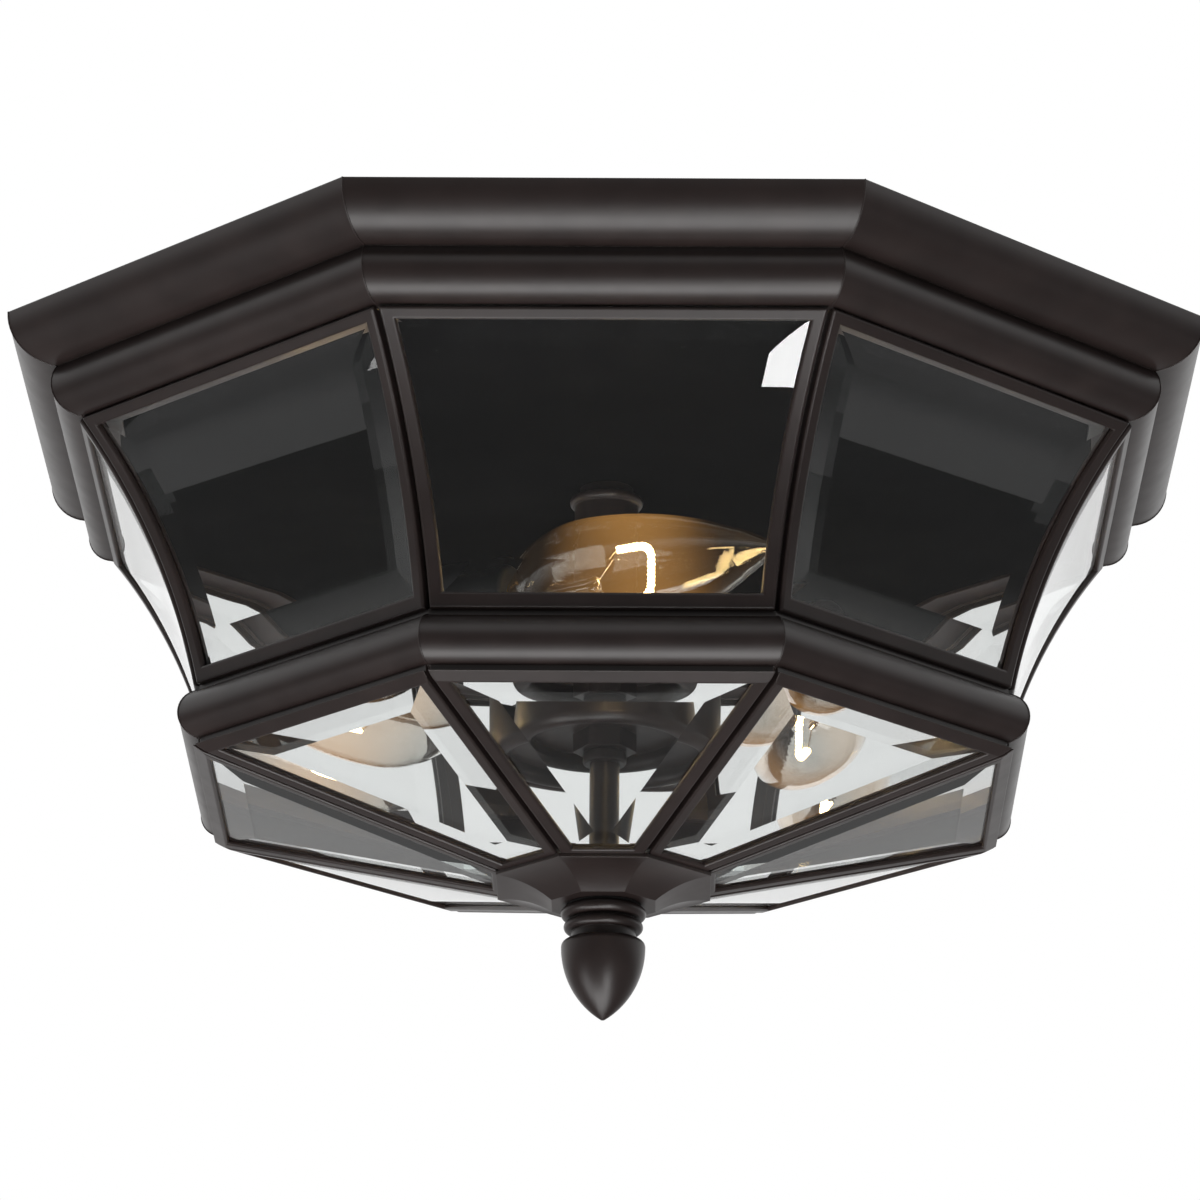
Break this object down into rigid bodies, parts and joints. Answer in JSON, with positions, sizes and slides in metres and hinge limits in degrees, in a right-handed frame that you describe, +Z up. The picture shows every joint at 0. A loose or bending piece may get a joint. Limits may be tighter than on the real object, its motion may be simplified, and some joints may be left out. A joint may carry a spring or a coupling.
{
  "type": "flush mount ceiling light",
  "caption": "Octagonal flush mount ceiling light: dark bronze pan, flared cage of bevelled glass panes over candle-style lamps, scooped hub and acorn finial nut.",
  "frame": {"origin": "centre of the pan on the ceiling plane, midway between the crossbar's two slots", "axes": "+Z up into the ceiling, +X along the crossbar, -Y towards the flat that faces the camera"},
  "size_m": [0.394, 0.394, 0.218],
  "materials": {
    "bronze": "satin dark bronze",
    "gloss_bronze": "semi-gloss dark bronze",
    "clear_glass": "clear, polished bevels",
    "lamp_glass": "clear with a warm tint",
    "lamp_brass": "plain",
    "black_plastic": "matte",
    "zinc": "zinc plated",
    "green_paint": "green",
    "rubber": "matte"
  },
  "bodies": {
    "fixture": {"ceiling_pan": "bronze", "center_rod": "bronze", "cluster_cup": "bronze", "cluster_nut": "bronze", "column": "bronze", "crossbar": "zinc", "ground_screw": "green_paint", "lamp_arm_1": "bronze", "lamp_arm_2": "bronze", "lamp_arm_3": "bronze", "lamp_socket_1": "black_plastic", "lamp_socket_2": "black_plastic", "lamp_socket_3": "black_plastic", "mounting_screws": "zinc", "pan_plate": "gloss_bronze", "rod_collar": "bronze", "rod_lock_nut": "zinc"},
    "cage": {"hub": "bronze", "lower_frame_1": "bronze", "lower_frame_2": "bronze", "lower_frame_3": "bronze", "lower_frame_4": "bronze", "lower_frame_5": "bronze", "lower_frame_6": "bronze", "lower_frame_7": "bronze", "lower_frame_8": "bronze", "lower_glass_1": "clear_glass", "lower_glass_2": "clear_glass", "lower_glass_3": "clear_glass", "lower_glass_4": "clear_glass", "lower_glass_5": "clear_glass", "lower_glass_6": "clear_glass", "lower_glass_7": "clear_glass", "lower_glass_8": "clear_glass", "mid_band": "bronze", "upper_frame_1": "bronze", "upper_frame_2": "bronze", "upper_frame_3": "bronze", "upper_frame_4": "bronze", "upper_frame_5": "bronze", "upper_frame_6": "bronze", "upper_frame_7": "bronze", "upper_frame_8": "bronze", "upper_glass_1": "clear_glass", "upper_glass_2": "clear_glass", "upper_glass_3": "clear_glass", "upper_glass_4": "clear_glass", "upper_glass_5": "clear_glass", "upper_glass_6": "clear_glass", "upper_glass_7": "clear_glass", "upper_glass_8": "clear_glass"},
    "finial_seal": {"finial_washer": "rubber"},
    "finial": {"finial": "bronze"},
    "bulb_1": {"bulb_base_1": "lamp_brass", "bulb_glass_1": "lamp_glass"},
    "bulb_2": {"bulb_base_2": "lamp_brass", "bulb_glass_2": "lamp_glass"},
    "bulb_3": {"bulb_base_3": "lamp_brass", "bulb_glass_3": "lamp_glass"}
  },
  "joints": [
    {"name": "cage_drop", "type": "slide", "parent": "fixture", "child": "cage", "axis": [0, 0, -1], "range_m": [0, 0.17]},
    {"name": "finial_turn", "type": "hinge", "parent": "cage", "child": "finial_seal", "pos_m": [0, 0, -0.18], "axis": [0, 0, -1], "range_deg": [0, 4980]},
    {"name": "finial_travel", "type": "slide", "parent": "finial_seal", "child": "finial", "axis": [0, 0, -1], "range_m": [0, 0.013]},
    {"name": "bulb_1_turn", "type": "hinge", "parent": "fixture", "child": "bulb_1", "pos_m": [-0.06757, -0.05724, -0.0942], "axis": [0.891, -0.454, 0], "range_deg": [0, 1440]},
    {"name": "bulb_2_turn", "type": "hinge", "parent": "fixture", "child": "bulb_2", "pos_m": [0.08728, -0.01496, -0.0942], "axis": [-0.225, 0.9744, 0], "range_deg": [0, 1440]},
    {"name": "bulb_3_turn", "type": "hinge", "parent": "fixture", "child": "bulb_3", "pos_m": [-0.01579, 0.08714, -0.0942], "axis": [-0.8387, -0.5446, 0], "range_deg": [0, 1440]}
  ],
  "couplings": [
    {"joint": "finial_turn", "follows": "finial_travel", "rad_per_m": 6684.2}
  ]
}
